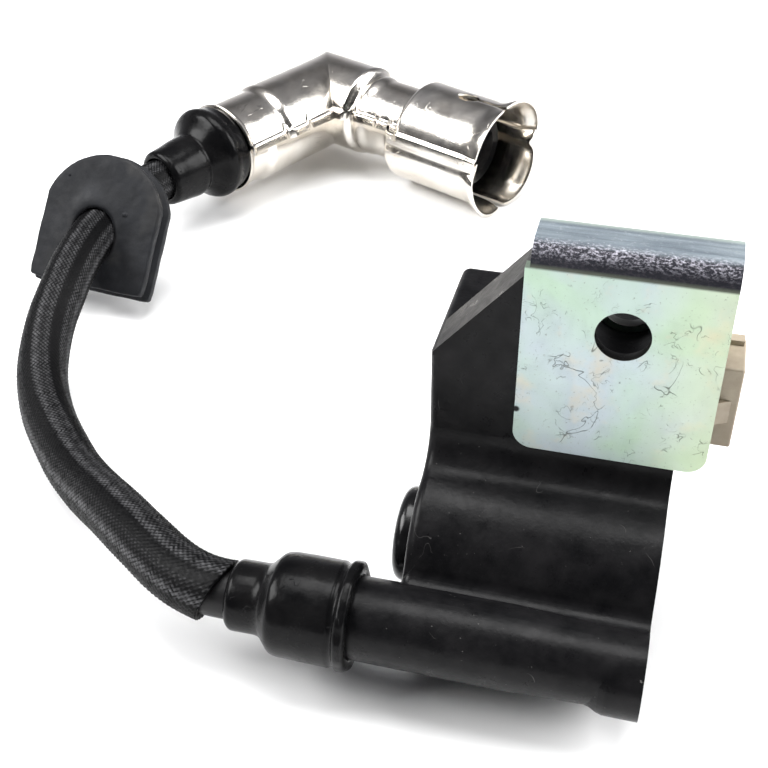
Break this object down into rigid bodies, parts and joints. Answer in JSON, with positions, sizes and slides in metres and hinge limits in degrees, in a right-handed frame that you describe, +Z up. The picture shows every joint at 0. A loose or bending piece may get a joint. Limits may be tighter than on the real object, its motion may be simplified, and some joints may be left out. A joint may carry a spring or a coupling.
{
  "type": "ignition coil",
  "caption": "Small-engine ignition coil: potted black housing in a steel saddle bracket, braided high-tension lead with grommet, and a metal-shielded right-angle spark plug cap.",
  "frame": {"origin": "centre of the bracket's bolt hole on the bracket's front face", "axes": "+X along the bracket towards the connector, -Y out of the bracket's front face along the bolt hole, +Z up towards the bracket's folded top"},
  "size_m": [0.1307, 0.178, 0.06],
  "materials": {
    "zinc_steel": "yellow-green passivated zinc over bent steel strip, faint rainbow haze",
    "housing_plastic": "black glass-filled moulding, satin with scuffs",
    "gloss_cap": "glossy black domed plug",
    "core_iron": "bare laminated iron",
    "bobbin_plastic": "natural moulding",
    "copper": "enamelled copper wire",
    "potting_resin": "black casting resin",
    "connector_plastic": "cream moulding",
    "tinned_brass": "tinned blades",
    "brass": "turned brass",
    "gloss_rubber": "smooth black rubber, oily sheen",
    "lead_jacket": "black silicone jacket",
    "braid": "black braided monofilament with grey highlights",
    "matte_rubber": "matt dark grey rubber",
    "nickel_sheet": "bright nickel-plated sheet",
    "spring_steel": "spring steel",
    "ceramic": "ceramic resistor body"
  },
  "bodies": {
    "coil": {"mounting_bracket": "zinc_steel", "coil_housing": "housing_plastic", "high_tension_tower": "housing_plastic", "core_end_cap": "gloss_cap", "iron_core": "core_iron", "primary_bobbin": "bobbin_plastic", "primary_winding": "copper", "secondary_bobbin": "bobbin_plastic", "secondary_winding": "copper", "potting_fill": "potting_resin", "connector_housing": "connector_plastic", "connector_terminals": "tinned_brass", "primary_lead_wires": "copper", "tower_terminal": "brass", "secondary_link_wire": "copper", "tower_boot": "gloss_rubber", "hv_lead": "lead_jacket", "lead_conductor": "copper", "braided_sleeve": "braid"},
    "grommet": {"panel_grommet": "matte_rubber"},
    "plug_cap": {"cap_cable_seal": "gloss_rubber", "cap_shield_upper": "nickel_sheet", "cap_shield_lower": "nickel_sheet", "cap_insulator": "housing_plastic", "cable_screw": "brass", "elbow_contact": "brass", "cap_spring": "spring_steel", "cap_resistor": "ceramic", "plug_terminal_clip": "spring_steel", "plug_seal": "gloss_rubber"}
  },
  "joints": [
    {"name": "cap_swivel", "type": "hinge", "parent": "coil", "child": "plug_cap", "pos_m": [-0.0788, 0.1398, -0.0371], "axis": [-0.4305, -0.9026, 0], "range_deg": [0, 90]},
    {"name": "grommet_turn", "type": "hinge", "parent": "coil", "child": "grommet", "pos_m": [-0.10357, 0.0654, -0.0352], "axis": [-0.0898, 0.9923, -0.0848], "range_deg": [-30, 0]}
  ]
}
